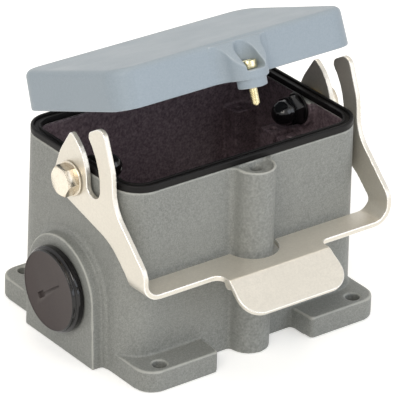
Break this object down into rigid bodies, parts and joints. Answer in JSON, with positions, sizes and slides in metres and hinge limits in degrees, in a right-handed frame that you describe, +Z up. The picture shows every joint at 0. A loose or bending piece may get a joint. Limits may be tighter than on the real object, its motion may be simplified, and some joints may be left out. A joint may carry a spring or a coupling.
{
  "type": "heavy duty rectangular connector housing",
  "caption": "Surface mounting rectangular connector housing with hinged screw-down lid, locking lever, rim seal and side cable entries.",
  "frame": {"origin": "centre of the four fixing holes, on the mounting face under the feet", "axes": "+X along the long side to the right, -Y to the front with the lid screw and the lever's tab, +Z up from the mounting face"},
  "size_m": [0.1557, 0.1416, 0.1473],
  "materials": {
    "housing_enamel": "grey enamel over die-cast aluminium",
    "lid_enamel": "light blue-grey enamel over die-cast aluminium",
    "seal_rubber": "smooth black rubber",
    "lever_zinc": "satin zinc-plated sheet steel",
    "bolt_zinc": "zinc-plated steel",
    "screw_passivate": "bright yellow passivated steel",
    "pin_steel": "drawn stainless steel",
    "bush_brass": "turned brass",
    "nut_black": "glossy black cap",
    "plug_plastic": "dark brown moulded plastic, matt face and glossy edge"
  },
  "bodies": {
    "housing": {"housing": "housing_enamel", "rim_seal": "seal_rubber", "hinge_pin": "pin_steel", "left_pin_clip": "pin_steel", "right_pin_clip": "pin_steel", "left_pivot_bolt": "bolt_zinc", "right_pivot_bolt": "bolt_zinc", "left_pivot_bush": "bush_brass", "right_pivot_bush": "bush_brass", "left_pivot_washer": "bolt_zinc", "right_pivot_washer": "bolt_zinc", "left_cap_nut": "nut_black", "right_cap_nut": "nut_black", "left_sealing_washer": "seal_rubber", "right_sealing_washer": "seal_rubber", "blanking_plug": "plug_plastic", "plug_seal": "seal_rubber"},
    "lid": {"lid": "lid_enamel"},
    "lid_screw": {"lid_screw": "screw_passivate", "lid_screw_ring": "pin_steel"},
    "lever": {"locking_lever": "lever_zinc"}
  },
  "joints": [
    {"name": "lid_hinge", "type": "hinge", "parent": "housing", "child": "lid", "pos_m": [0, 0.05335, 0.0976], "axis": [-1, 0, 0], "range_deg": [-21.4, 85]},
    {"name": "lever_pivot", "type": "hinge", "parent": "housing", "child": "lever", "pos_m": [0, -0.0042, 0.0867], "axis": [-1, 0, 0], "range_deg": [-2.5, 73]},
    {"name": "lid_screw_slide", "type": "slide", "parent": "lid", "child": "lid_screw", "axis": [0, 0.3649, 0.9311], "range_m": [0, 0.0046]}
  ]
}
